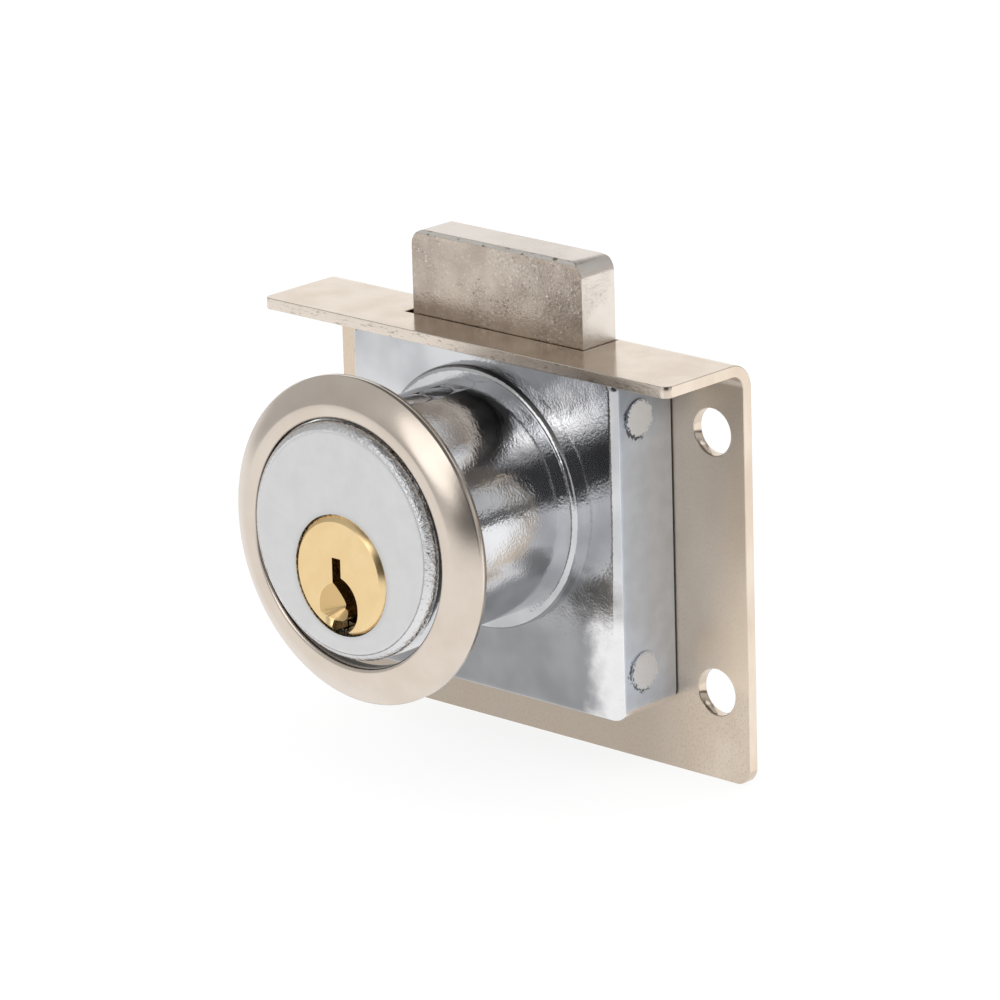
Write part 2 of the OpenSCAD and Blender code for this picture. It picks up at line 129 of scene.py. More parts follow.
class Value:
    """A number socket: sums and products on it add Math nodes to its tree."""

    def __init__(self, tree: "Tree", socket: bpy.types.NodeSocket) -> None:
        """Keeps the tree that the socket belongs to."""
        self.tree = tree
        self.socket = socket

    def math(self, operation: str, *others: "Value | float") -> "Value":
        """Adds one Math node.

        Args:
            operation: The Math node's operation.
            others: What fills its second socket, if it has one.

        Returns:
            The node's result.
        """
        inputs = dict(enumerate((self, *others)))
        made = self.tree.node("ShaderNodeMath", {"operation": operation}, inputs)
        return Value(self.tree, made.outputs[0])

    def __add__(self, other: "Value | float") -> "Value":
        """Adds a number or a socket."""
        return self.math("ADD", other)

    def __radd__(self, other: float) -> "Value":
        """Adds to a number."""
        return self.math("ADD", other)

    def __sub__(self, other: "Value | float") -> "Value":
        """Takes away a number or a socket."""
        return self.math("SUBTRACT", other)

    def __rsub__(self, other: float) -> "Value":
        """Takes the socket away from a number."""
        return (-self).math("ADD", other)

    def __mul__(self, other: "Value | float") -> "Value":
        """Multiplies by a number or a socket."""
        return self.math("MULTIPLY", other)

    def __rmul__(self, other: float) -> "Value":
        """Multiplies a number."""
        return self.math("MULTIPLY", other)

    def __truediv__(self, other: "Value | float") -> "Value":
        """Divides by a number or a socket."""
        return self.math("DIVIDE", other)

    def __neg__(self) -> "Value":
        """Changes the sign."""
        return self.math("MULTIPLY", -1.0)

    def __abs__(self) -> "Value":
        """Drops the sign."""
        return self.math("ABSOLUTE")

    def larger(self, other: "Value | float") -> "Value":
        """Gives the larger of two numbers."""
        return self.math("MAXIMUM", other)

    def hypot(self, other: "Value") -> "Value":
        """Gives the distance that two lengths at a right angle make."""
        return (self * self + other * other).math("SQRT")

    def ramp(self, low: float, high: float) -> "Value":
        """Rises smoothly from 0 at low to 1 at high, or falls where low is the higher.

        Args:
            low: Where the result is 0.
            high: Where the result is 1.

        Returns:
            The smooth step.
        """
        if low > high:
            return 1.0 - self.ramp(high, low)
        made = self.tree.node(
            "ShaderNodeMapRange",
            {"interpolation_type": "SMOOTHSTEP"},
            {"Value": self, "From Min": low, "From Max": high},
        )
        return Value(self.tree, made.outputs["Result"])


class Tree:
    """A node tree that is filled by name."""

    def __init__(self, nodes: bpy.types.NodeTree) -> None:
        """Starts from an empty tree.

        Args:
            nodes: The tree that is emptied and filled.
        """
        self.tree = nodes
        self.tree.nodes.clear()
        self.shared: dict[str, bpy.types.Node] = {}

    def node(
        self,
        kind: str,
        settings: Mapping[str, object] | None = None,
        inputs: Mapping[str | int, object] | None = None,
    ) -> bpy.types.Node:
        """Adds one node.

        Args:
            kind: The node's type.
            settings: Its own settings.
            inputs: The value or link of each named or numbered socket.

        Returns:
            The node.
        """
        made = self.tree.nodes.new(kind)
        for name, value in (settings or {}).items():
            setattr(made, name, value)
        for name, value in (inputs or {}).items():
            socket = made.inputs[name]
            if isinstance(value, Value):
                self.tree.links.new(value.socket, socket)
            elif isinstance(value, bpy.types.NodeSocket):
                self.tree.links.new(value, socket)
            else:
                plain = socket.type == "RGBA" and len(value) == 3
                socket.default_value = (*value, 1.0) if plain else value
        return made

    def once(self, kind: str, output: str) -> bpy.types.NodeSocket:
        """Gives an output of the tree's one node of a kind that has no settings.

        Args:
            kind: The node's type.
            output: The output's name.

        Returns:
            The output.
        """
        if kind not in self.shared:
            self.shared[kind] = self.node(kind)
        return self.shared[kind].outputs[output]

    def parts_of(self, vector: bpy.types.NodeSocket) -> tuple[Value, Value, Value]:
        """Splits a vector into its three numbers."""
        made = self.node("ShaderNodeSeparateXYZ", inputs={0: vector})
        return tuple(Value(self, made.outputs[i]) for i in range(3))

    def place(self) -> tuple[Value, Value, Value]:
        """Gives the place on the piece, in the lock's own frame."""
        return self.parts_of(self.once("ShaderNodeTexCoord", "Object"))

    def facing(self) -> tuple[Value, Value, Value]:
        """Gives the way that the piece's surface faces, in the lock's own frame."""
        return self.parts_of(self.once("ShaderNodeTexCoord", "Normal"))

    def noise(self, grain: Grain) -> Value:
        """Adds a soft random pattern.

        Args:
            grain: The pattern.

        Returns:
            A number round 0.5.
        """
        widths = [grain.width * (grain.longer if axis is grain.along else 1.0) for axis in Along]
        where = {
            "Vector": self.once("ShaderNodeTexCoord", "Object"),
            "Scale": tuple(1.0 / width for width in widths),
            "Location": (grain.seed,) * 3,
        }
        place = self.node("ShaderNodeMapping", inputs=where).outputs[0]
        layers = {"Vector": place, "Scale": 1.0, "Detail": grain.detail, "Roughness": grain.rough}
        return Value(self, self.node("ShaderNodeTexNoise", inputs=layers).outputs[0])

    def mix(self, factor: Value | float, a: object, b: object) -> bpy.types.NodeSocket:
        """Mixes two colours.

        Args:
            factor: 0 for the first colour and 1 for the second.
            a: The first colour or its socket.
            b: The second colour or its socket.

        Returns:
            The mixed colour.
        """
        made = self.node("ShaderNodeMix", {"data_type": "RGBA"}, {0: factor, 6: a, 7: b})
        return made.outputs[2]

    def bump(self, height: Value, depth: float, over: object = None) -> bpy.types.NodeSocket:
        """Turns a height from 0 to 1 into a normal.

        Args:
            height: The height.
            depth: What a height of 1 stands for, in metres.
            over: The normal of a coarser bump that this one lies on.

        Returns:
            The normal.
        """
        inputs = {"Height": height, "Distance": depth, "Strength": 1.0}
        if over is not None:
            inputs["Normal"] = over
        return self.node("ShaderNodeBump", inputs=inputs).outputs[0]

    def metal(
        self, colour: bpy.types.NodeSocket, rough: Value, normal: bpy.types.NodeSocket
    ) -> None:
        """Ends the tree in one bare metal surface.

        Args:
            colour: The base colour.
            rough: The roughness.
            normal: The normal.
        """
        surface = self.node(
            "ShaderNodeBsdfPrincipled",
            inputs={"Base Color": colour, "Roughness": rough, "Metallic": 1.0, "Normal": normal},
        )
        self.node("ShaderNodeOutputMaterial", inputs={"Surface": surface.outputs[0]})


@dataclass(frozen=True)
class Finish:
    """A metal finish: its colours and grain, and the node tree that they make."""

    name: str
    pale: Colour
    deep: Colour
    rough: float
    cloud: Grain = Grain(3 * MM, detail=3)
    cloud_band: Band = (0.35, 0.65)
    cloud_rough: float = 0.1
    fine: Grain = Grain(0.2 * MM, depth=0.002 * MM, detail=1)

    def material(self) -> bpy.types.Material:
        """Makes the material.

        Returns:
            The material with its node tree.
        """
        made = bpy.data.materials.new(self.name)
        made.use_nodes = True
        self.fill(Tree(made.node_tree))
        return made

    def clouded(self, tree: Tree) -> tuple[Value, bpy.types.NodeSocket]:
        """Adds the cloudy ground.

        Args:
            tree: The tree.

        Returns:
            The cloud, and the colour that it makes between the deep and the pale tone.
        """
        cloud = tree.noise(self.cloud)
        return cloud, tree.mix(cloud.ramp(*self.cloud_band), self.deep, self.pale)

    def fill(self, tree: Tree) -> None:
        """Fills the node tree with a plain cloudy metal.

        Args:
            tree: The empty tree.
        """
        cloud, tone = self.clouded(tree)
        normal = tree.bump(tree.noise(self.fine), self.fine.depth)
        tree.metal(tone, self.rough + cloud * self.cloud_rough, normal)


@dataclass(frozen=True)
class CastChrome(Finish):
    """Bright plating over a rippled casting, dull on its sides and on the barrel's turned face.

    A band gives where a mask is 0 and where it is 1. A share is how strong a tone is laid on.
    """

    cloud: Grain = Grain(7 * MM, detail=3, rough=0.4)
    ripple: Grain = Grain(0.27 * MM, depth=0.017 * MM)
    swell: Grain = Grain(2.6 * MM, depth=0.05 * MM, detail=1)
    sand: Grain = Grain(0.16 * MM, depth=0.012 * MM, detail=3, rough=0.7)
    dents: Grain = Grain(0.42 * MM, depth=0.16 * MM, detail=3, rough=0.65)
    smudge: Grain = Grain(1.6 * MM, detail=4)
    smudge_band: Band = (0.2, 0.8)
    highlight_tone: Colour = (0.95, 0.94, 0.94)
    dark_tone: Colour = (0.045, 0.045, 0.045)

    front: Band = (8.1 * MM, 8.0 * MM)
    # Painted shade: the case front, and more weakly the barrel, darken towards the foot.
    foot_shade: Band = (-2 * MM, -13 * MM)
    foot_shade_share: float = 0.48
    foot_shade_on_barrel: float = 0.3
    sand_foot: Band = (-5 * MM, -9 * MM)
    # Painted highlight along the right margin of the case front, where the painted foot shade also
    # ends.
    highlight_margin: Band = (15.4 * MM, 11.8 * MM)
    highlight_margin_fray: float = 2 * MM
    highlight_margin_foot: Band = (-4 * MM, -9 * MM)
    # Painted highlight: a bright glint high on the right of the case front.
    glint: Band = (5.5 * MM, 1.5 * MM)
    glint_at: tuple[float, float] = (11.5 * MM, 9.5 * MM)
    glint_flat: float = 1.414
    glint_share: float = 0.75
    # Painted reflection: a dark patch low on the right of the case front.
    dark_reflection: Band = (5.0 * MM, 1.5 * MM)
    dark_reflection_at: tuple[float, float] = (13.2 * MM, -7.4 * MM)
    dark_reflection_flat: float = 1.612
    dark_reflection_fray: float = 1.5 * MM
    dark_reflection_share: float = 0.55

    face: Band = (25.9 * MM, 26.0 * MM)
    face_turn: Band = (0.93, 0.985)
    face_tone: Colour = (0.82, 0.82, 0.82)
    face_rough: float = 0.42
    face_calm: float = 0.9
    face_smudge: float = 0.06
    # Painted shade in a ring round the plug.
    halo: Band = (6.3 * MM, 5.0 * MM)
    halo_share: float = 0.34
    halo_fade: float = 0.6
    plug_z: float = -3.05 * MM
    # Painted highlight on the rounded edge of the barrel's face.
    rounding: Band = (25.1 * MM, 25.5 * MM)
    rounding_highlight_share: float = 0.5

    side: Band = (7.4 * MM, 7.3 * MM)
    side_turn: Band = (0.9, 0.98)
    side_x: Band = (16.0 * MM, 16.2 * MM)
    side_tone: Colour = (0.76, 0.82, 0.91)
    side_rough: float = 0.55
    side_calm: float = 0.8
    # Painted shade towards the top of the sides, under the flange.
    side_top: Band = (6.5 * MM, 11.5 * MM)
    side_top_shade_share: float = 0.38
    side_smudge: float = 0.1
    seam: Band = (0.2 * MM, 0.1 * MM)

    mark_heights: tuple[float, float] = (-14.33 * MM, 9.47 * MM)
    mark_reach: float = 4.4 * MM
    mark_r: float = 1.75 * MM
    mark_fray: float = 1.1 * MM
    mark_soft: float = 0.2 * MM
    mark_tone: Colour = (0.93, 0.93, 0.93)
    mark_depth: float = 0.05 * MM
    mark_rough: float = 0.15
    # Painted shade on one side of each mould mark's rim.
    rim: tuple[float, float, float, float] = (-0.15 * MM, 0.0, 0.15 * MM, 0.35 * MM)
    rim_lean: tuple[float, float] = (-0.8, -0.6)
    rim_side: Band = (0.2 * MM, 1.2 * MM)
    rim_shade_share: float = 0.85

    def fill(self, tree: Tree) -> None:
        """Fills the node tree.

        Args:
            tree: The empty tree.
        """
        x, y, z = tree.place()
        nx, ny, _ = tree.facing()
        reach = -y
        ripple, sand = tree.noise(self.ripple), tree.noise(self.sand)
        smudge = tree.noise(self.smudge).ramp(*self.smudge_band)
        front = reach.ramp(*self.front)
        face = reach.ramp(*self.face) * (-ny).ramp(*self.face_turn)
        rounding = reach.ramp(*self.rounding) * (1.0 - face)
        wall = abs(nx).ramp(*self.side_turn) * reach.ramp(*self.side) * abs(x).ramp(*self.side_x)
        mark, rim = (found * wall for found in self.marks(reach, z, ripple))

        tone = self.front_tone(tree, x, z, front, smudge)
        # A faint random smudge, and painted shade in a ring round the plug, on the barrel's face.
        smudge_and_shade = smudge * self.face_smudge + self.painted_shade_ring(x, z, smudge)
        tone = tree.mix(face, tone, tree.mix(smudge_and_shade, self.face_tone, BLACK))
        # Painted shade darkens the sides towards the top; the smudge part is random tone.
        shade = z.ramp(*self.side_top) * self.side_top_shade_share + (1.0 - smudge) * self.side_smudge
        side = tree.mix(shade, self.side_tone, BLACK)
        tone = tree.mix(wall, tone, tree.mix(mark, side, self.mark_tone))
        # Painted shade on the mould marks' rims, and the dark seam where the sides meet the plate.
        lines = (rim * self.rim_shade_share).larger(wall * reach.ramp(*self.seam))
        tone = tree.mix(lines, tone, self.dark_tone)
        # Painted highlight along the rounded edge of the barrel's face.
        tone = tree.mix(rounding * self.rounding_highlight_share, tone, self.highlight_tone)

        wild = 1.0 - (face * self.face_calm).larger(wall * self.side_calm)
        low = front * z.ramp(*self.sand_foot) * wild
        normal = tree.bump(tree.noise(self.swell) * wild, self.swell.depth)
        normal = tree.bump(ripple * wild, self.ripple.depth, normal)
        normal = tree.bump(sand * mark, self.mark_depth, normal)
        normal = tree.bump(sand * low, self.sand.depth, normal)
        normal = tree.bump(tree.noise(self.dents) * rounding, self.dents.depth, normal)
        rough = self.rough + face * (self.face_rough - self.rough)
        rough = rough + wall * (self.side_rough - self.rough)
        tree.metal(tone, rough + mark * self.mark_rough, normal)

    def front_tone(
        self, tree: Tree, x: Value, z: Value, front: Value, smudge: Value
    ) -> bpy.types.NodeSocket:
        """Colours the plating with painted light: painted shade at its foot, a painted dark
        reflection low on its right, and painted highlights in a glint and along the margin.

        Args:
            tree: The tree.
            x: The place across.
            z: The height.
            front: How far a place lies on the case and not on the barrel.
            smudge: The smudged pattern.

        Returns:
            The colour.
        """
        _, tone = self.clouded(tree)
        # Painted shade towards the foot, lifted along the highlighted right margin.
        inner = front * x.ramp(*self.highlight_margin) + (1.0 - front) * self.foot_shade_on_barrel
        tone = tree.mix(z.ramp(*self.foot_shade) * inner * self.foot_shade_share, tone, BLACK)
        # Painted highlights: the glint and the bright right margin.
        away = (x - self.glint_at[0]).hypot((z - self.glint_at[1]) * self.glint_flat)
        frayed = x + (smudge - 0.5) * self.highlight_margin_fray
        highlight_margin = frayed.ramp(*reversed(self.highlight_margin)) * z.ramp(*self.highlight_margin_foot)
        strength = smudge * (1.0 - self.glint_share) + self.glint_share
        painted_highlight = front * away.ramp(*self.glint).larger(highlight_margin) * strength
        tone = tree.mix(painted_highlight, tone, self.highlight_tone)
        # Painted dark reflection in a frayed patch on the case front.
        above = z - self.dark_reflection_at[1] - (smudge - 0.5) * self.dark_reflection_fray
        away = (x - self.dark_reflection_at[0]).hypot(above * self.dark_reflection_flat)
        return tree.mix(front * away.ramp(*self.dark_reflection) * self.dark_reflection_share, tone, BLACK)

    def painted_shade_ring(self, x: Value, z: Value, smudge: Value) -> Value:
        """Finds the painted shade round the plug on the barrel's face.

        Args:
            x: The place across.
            z: The height.
            smudge: The smudged pattern.

        Returns:
            How dark the painted shade is.
        """
        halo = x.hypot(z - self.plug_z).ramp(*self.halo)
        return halo * (1.0 - smudge * self.halo_fade) * self.halo_share

    def marks(self, reach: Value, z: Value, ragged: Value) -> tuple[Value, Value]:
        """Finds the round mould marks on the casting's sides.

        Args:
            reach: The place along the reach.
            z: The height.
            ragged: The pattern that frays the marks' outline.

        Returns:
            How far a place lies inside a mark, and on the part of its rim that takes painted shade.
        """
        found = []
        for height in self.mark_heights:
            out, up = self.mark_reach - reach, z - height
            past = out.hypot(up) + (ragged - 0.5) * self.mark_fray - self.mark_r
            inner, crest, fall, outer = self.rim
            lean = out * self.rim_lean[0] + up * self.rim_lean[1]
            rim = past.ramp(inner, crest) * past.ramp(outer, fall) * lean.ramp(*self.rim_side)
            found.append((past.ramp(0.0, -self.mark_soft), rim))
        (low, low_rim), (high, high_rim) = found
        return low + high, low_rim + high_rim


@dataclass(frozen=True)
class RubbedNickel(Finish):
    """Nickel over sheet steel that was rubbed upward, worn in clouds and torn at its front edge."""

    cloud: Grain = Grain(4 * MM, detail=4, longer=2.0)
    cloud_band: Band = (0.32, 0.68)
    cloud_share: float = 0.3
    lines: Grain = Grain(0.16 * MM, depth=0.003 * MM, detail=3, rough=0.65, longer=14.0)
    lines_rough: float = 0.12
    grit: Grain = Grain(
        0.22 * MM, depth=0.02 * MM, detail=3, rough=0.7, along=Along.X, longer=4.0
    )
    grit_band: Band = (0.44, 0.32)
    grit_share: float = 0.5
    grit_tone: Colour = (0.20, 0.16, 0.12)
    speck: Grain = Grain(0.2 * MM, depth=0.012 * MM, detail=3, rough=0.75, longer=1.5)
    speck_band: Band = (0.52, 0.32)
    speck_share: float = 0.3

    turn: Band = (0.8, 0.95)
    torn: Band = (10.05 * MM, 10.15 * MM)
    torn_tone: Colour = (0.95, 0.87, 0.78)
    torn_share: float = 0.6
    torn_rough: float = 0.1
    face: Band = (9.15 * MM, 8.15 * MM)
    face_rough: float = 0.36
    wing_x: Band = (15.5 * MM, 17 * MM)
    wing_z: Band = (-17 * MM, -15 * MM)
    wing_tone: Colour = (0.92, 0.76, 0.59)
    wing_share: float = 0.6
    # Painted shade: the plate's front darkens towards its bottom edge, most on the left.
    foot_shade: Band = (-15.5 * MM, -18.5 * MM)
    foot_shade_x: Band = (22 * MM, 12 * MM)
    foot_shade_tone: Colour = (0.36, 0.31, 0.26)
    foot_shade_share: float = 0.45
    # Painted shade on the flange's underside.
    underside_shade: Band = (13.8 * MM, 13.9 * MM)
    under_turn: Band = (0.5, 0.9)
    underside_shade_tone: Colour = (0.18, 0.17, 0.16)
    under_rough: float = 0.2
    back: Band = (13.9 * MM, 13.4 * MM)
    back_tone: Colour = (0.56, 0.49, 0.42)
    back_share: float = 0.35
    back_specks: float = 0.6

    def fill(self, tree: Tree) -> None:
        """Fills the node tree.

        Args:
            tree: The empty tree.
        """
        x, y, z = tree.place()
        _, ny, nz = tree.facing()
        reach = -y
        lines, grit, speck = (tree.noise(grain) for grain in (self.lines, self.grit, self.speck))
        torn = reach.ramp(*self.torn)
        whole = 1.0 - torn
        face = (-ny).ramp(*self.turn) * reach.ramp(*self.face)
        wing = face * abs(x).ramp(*self.wing_x) * z.ramp(*self.wing_z)
        foot_shade = face * z.ramp(*self.foot_shade) * x.ramp(*self.foot_shade_x)
        back = ny.ramp(*self.turn) * z.ramp(*self.back)
        underside_shade = (-nz).ramp(*self.under_turn) * z.ramp(*self.underside_shade)

        cloud, tone = self.clouded(tree)
        tone = tree.mix(torn * self.torn_share, tone, self.torn_tone)
        dotted = torn * grit.ramp(*self.grit_band)
        tone = tree.mix(dotted * self.grit_share, tone, self.grit_tone)
        tone = tree.mix(back * (cloud * self.cloud_share + self.back_share), tone, self.back_tone)
        dotted = (face + back * self.back_specks) * speck.ramp(*self.speck_band)
        tone = tree.mix(dotted * self.speck_share, tone, self.grit_tone)
        tone = tree.mix(wing * self.wing_share, tone, self.wing_tone)
        # Painted shade on the flange's underside.
        tone = tree.mix(underside_shade, tone, self.underside_shade_tone)
        # Painted shade at the foot of the plate's front.
        tone = tree.mix(foot_shade * (cloud * self.cloud_share + self.foot_shade_share), tone, self.foot_shade_tone)

        normal = tree.bump(lines * whole, self.lines.depth)
        normal = tree.bump(grit * torn, self.grit.depth, normal)
        normal = tree.bump(speck * face, self.speck.depth, normal)
        rough = self.rough + (lines - 0.5) * whole * self.lines_rough
        rough = rough + (cloud - 0.5) * self.cloud_rough
        rough = rough + (face + back) * (self.face_rough - self.rough)
        tree.metal(tone, rough + torn * self.torn_rough + underside_shade * self.under_rough, normal)


@dataclass(frozen=True)
class TumbledNickel(Finish):
    """Nickel over a pressed bar: pitted in patches, rubbed where it slides and chipped on top."""

    cloud: Grain = Grain(3.2 * MM, detail=4)
    cloud_band: Band = (0.3, 0.7)
    cloud_rough: float = 0.15
    swell: Grain = Grain(2.2 * MM, depth=0.04 * MM, detail=1)
    pits: Grain = Grain(0.3 * MM, depth=0.05 * MM, detail=3, rough=0.6)
    pit_band: Band = (0.40, 0.30)
    pit_share: float = 0.25
    pit_tone: Colour = (0.16, 0.12, 0.09)
    grain_band: Band = (0.56, 0.7)
    grain_share: float = 0.35
    grain_tone: Colour = (0.90, 0.85, 0.79)
    patch: Grain = Grain(5 * MM, seed=3.7)
    patch_band: Band = (0.45, 0.62)
    patch_share: float = 0.5
    rubbed: Band = (0.8, 0.97)
    rubbed_tone: Colour = (0.88, 0.81, 0.74)
    rubbed_share: float = 0.6
    rubbed_cloud: float = 0.5
    rubbed_pits: float = 0.3
    rubbed_rough: float = 0.08
    chip: Grain = Grain(0.8 * MM, detail=3, rough=0.6)
    chip_band: Band = (0.45, 0.35)
    chip_side: Band = (0.5, 0.2)
    chip_share: float = 0.7
    corner_high: Band = (0.95, 0.8)
    corner_low: Band = (0.2, 0.4)
    bend_low: Band = (0.03, 0.15)
    bend_side: Band = (0.4, 0.7)
    bend_rough: float = 0.28

    def fill(self, tree: Tree) -> None:
        """Fills the node tree.

        Args:
            tree: The empty tree.
        """
        nx, _, nz = tree.facing()
        pits = tree.noise(self.pits)
        patch = tree.noise(self.patch).ramp(*self.patch_band)
        patched = patch * self.patch_share
        rubbed = nx.ramp(*self.rubbed).larger(nz.ramp(*self.rubbed))
        corner = nz.ramp(*self.corner_high) * nz.ramp(*self.corner_low)
        bend = nz.ramp(*self.bend_low) * nx.ramp(*self.bend_side)
        chips = tree.noise(self.chip).ramp(*self.chip_band) * nx.ramp(*self.chip_side)
        chips = chips * self.chip_share

        cloud, tone = self.clouded(tree)
        worn = rubbed * (cloud * self.rubbed_cloud + self.rubbed_share)
        tone = tree.mix(worn, tone, self.rubbed_tone)
        grains = pits.ramp(*self.grain_band) * (patched + self.grain_share)
        tone = tree.mix(grains, tone, self.grain_tone)
        pitted = pits.ramp(*self.pit_band) * (patched + self.pit_share)
        pitted = pitted * (1.0 - rubbed * (1.0 - self.rubbed_pits))
        tone = tree.mix(pitted, tone, self.pit_tone)
        tone = tree.mix(corner * (1.0 - chips), tone, self.grain_tone)
        tone = tree.mix(corner * chips, tone, self.pit_tone)

        normal = tree.bump(tree.noise(self.swell), self.swell.depth)
        normal = tree.bump(pits * (patch + 0.5), self.pits.depth, normal)
        rough = self.rough + (cloud - 0.5) * self.cloud_rough
        rough = rough + rubbed * self.rubbed_rough + bend * self.bend_rough
        tree.metal(tone, rough, normal)


@dataclass(frozen=True)
class PolishedNickel(Finish):
    """Bright nickel over a pressing, with painted shade on its back and inside its bore."""

    cloud: Grain = Grain(3.5 * MM, detail=3)
    cloud_band: Band = (0.3, 0.7)
    cloud_rough: float = 0.06
    fine: Grain = Grain(0.35 * MM, depth=0.0025 * MM)
    axis_z: float = -0.35 * MM
    bore_r: float = 11.5 * MM
    # Painted shade inside the bore.
    bore_shade: Band = (-0.6, -0.95)
    bore_shade_tone: Colour = (0.22, 0.19, 0.16)
    # Painted shade on the ring's back, where it faces the case.
    back: Band = (-0.1, 0.3)
    back_tone: Colour = (0.62, 0.58, 0.53)

    def fill(self, tree: Tree) -> None:
        """Fills the node tree.

        Args:
            tree: The empty tree.
        """
        x, _, z = tree.place()
        nx, ny, nz = tree.facing()
        outward = (x * nx + (z - self.axis_z) * nz) / self.bore_r
        cloud, tone = self.clouded(tree)
        # Painted shade on the ring's back.
        tone = tree.mix(ny.ramp(*self.back), tone, self.back_tone)
        # Painted shade inside the bore.
        tone = tree.mix(outward.ramp(*self.bore_shade), tone, self.bore_shade_tone)
        rough = self.rough + (cloud - 0.5) * self.cloud_rough
        tree.metal(tone, rough, tree.bump(tree.noise(self.fine), self.fine.depth))


@dataclass(frozen=True)
class SatinBrass(Finish):
    """Brass with a rubbed face and painted shade in the hollow beside its keyway."""

    cloud: Grain = Grain(2.4 * MM, detail=3)
    cloud_band: Band = (0.3, 0.7)
    cloud_rough: float = 0.08
    fine: Grain = Grain(0.12 * MM, depth=0.0015 * MM, along=Along.X, longer=10.0)
    axis_z: float = -3.05 * MM
    hollow_r: Band = (4.5 * MM, 4.4 * MM)
    hollow_reach: Band = (24.9 * MM, 25.0 * MM)
    hollow_turn: Band = (0.99, 0.93)
    # Painted shade in the hollow beside the keyway.
    hollow_shade_tone: Colour = (0.74, 0.52, 0.25)

    def fill(self, tree: Tree) -> None:
        """Fills the node tree.

        Args:
            tree: The empty tree.
        """
        x, y, z = tree.place()
        _, ny, _ = tree.parts_of(tree.once("ShaderNodeNewGeometry", "True Normal"))
        inner = x.hypot(z - self.axis_z).ramp(*self.hollow_r)
        hollow_shade = inner * (-y).ramp(*self.hollow_reach) * (-ny).ramp(*self.hollow_turn)
        cloud, tone = self.clouded(tree)
        # Painted shade in the hollow.
        tone = tree.mix(hollow_shade, tone, self.hollow_shade_tone)
        rough = self.rough + (cloud - 0.5) * self.cloud_rough
        tree.metal(tone, rough, tree.bump(tree.noise(self.fine), self.fine.depth))


def direction(azimuth: float, elevation: float) -> Vector:
    """Points outward from the lock.

    Args:
        azimuth: Degrees round the lock from its front, toward its right side.
        elevation: Degrees above the horizon.

    Returns:
        The unit vector.
    """
    turn, rise = math.radians(azimuth), math.radians(elevation)
    level = math.cos(rise)
    return Vector((math.sin(turn) * level, -math.cos(turn) * level, math.sin(rise)))


def named_mesh(name: str, build: Callable[[bmesh.types.BMesh], None]) -> bpy.types.Object:
    """Makes a smooth mesh object from a bmesh builder.

    Args:
        name: The piece's name.
        build: Fills the bmesh.

    Returns:
        The object, linked to the scene.
    """
    shape = bmesh.new()
    build(shape)
    bmesh.ops.recalc_face_normals(shape, faces=shape.faces)
    data = bpy.data.meshes.new(name)
    shape.to_mesh(data)
    shape.free()
    data.polygons.foreach_set("use_smooth", [True] * len(data.polygons))
    piece = bpy.data.objects.new(name, data)
    bpy.context.scene.collection.objects.link(piece)
    return piece


def join(
    shape: bmesh.types.BMesh,
    ring: Sequence[bmesh.types.BMVert],
    after: Sequence[bmesh.types.BMVert],
) -> None:
    """Joins two closed rings of points by a wall.

    Args:
        shape: The bmesh.
        ring: The first ring.
        after: The next ring, of the same count.
    """
    for k in range(len(ring)):
        n = (k + 1) % len(ring)
        shape.faces.new((ring[k], ring[n], after[n], after[k]))


def lathe(
    name: str, profile: Sequence[tuple[float, float]], centre: Point, steps: int
) -> bpy.types.Object:
    """Turns a closed profile about an axis that points forward.

    Args:
        name: The piece's name.
        profile: Radius and reach of each point, in order.
        centre: A point of the axis.
        steps: Sides of the turned form.

    Returns:
        The turned piece.
    """

    def build(shape: bmesh.types.BMesh) -> None:
        """Adds the rings and joins them.

        Args:
            shape: The empty bmesh.
        """
        rings = []
        for step in range(steps):
            angle = math.tau * step / steps
            across, up = math.cos(angle), math.sin(angle)
            places = [
                (centre[0] + r * across, centre[1] - reach, centre[2] + r * up)
                for r, reach in profile
            ]
            rings.append([shape.verts.new(place) for place in places])
        for i, ring in enumerate(rings):
            join(shape, ring, rings[(i + 1) % steps])

    return named_mesh(name, build)


def tube(name: str, points: Sequence[Vector], radius: float, sides: int) -> bpy.types.Object:
    """Sweeps a round section along points that turn about an upright axis.

    Args:
        name: The piece's name.
        points: The centre line.
        radius: The section's radius.
        sides: The section's sides.

    Returns:
        The swept piece with closed ends.
    """
    turns = [math.tau * k / sides for k in range(sides)]

    def build(shape: bmesh.types.BMesh) -> None:
        """Adds the rings, the walls and the ends.

        Args:
            shape: The empty bmesh.
        """
        rings = []
        for i, point in enumerate(points):
            ahead = points[min(i + 1, len(points) - 1)] - points[max(i - 1, 0)]
            side = ahead.cross(UP).normalized()
            up = side.cross(ahead).normalized()
            places = [point + radius * (math.cos(t) * side + math.sin(t) * up) for t in turns]
            rings.append([shape.verts.new(place) for place in places])
        for ring, after in zip(rings, rings[1:]):
            join(shape, ring, after)
        shape.faces.new(rings[0])
        shape.faces.new(rings[-1])

    return named_mesh(name, build)


def dress(piece: bpy.types.Object, finish: bpy.types.Material) -> None:
    """Gives a piece one material in place of what it came with."""
    piece.data.materials.clear()
    piece.data.materials.append(finish)


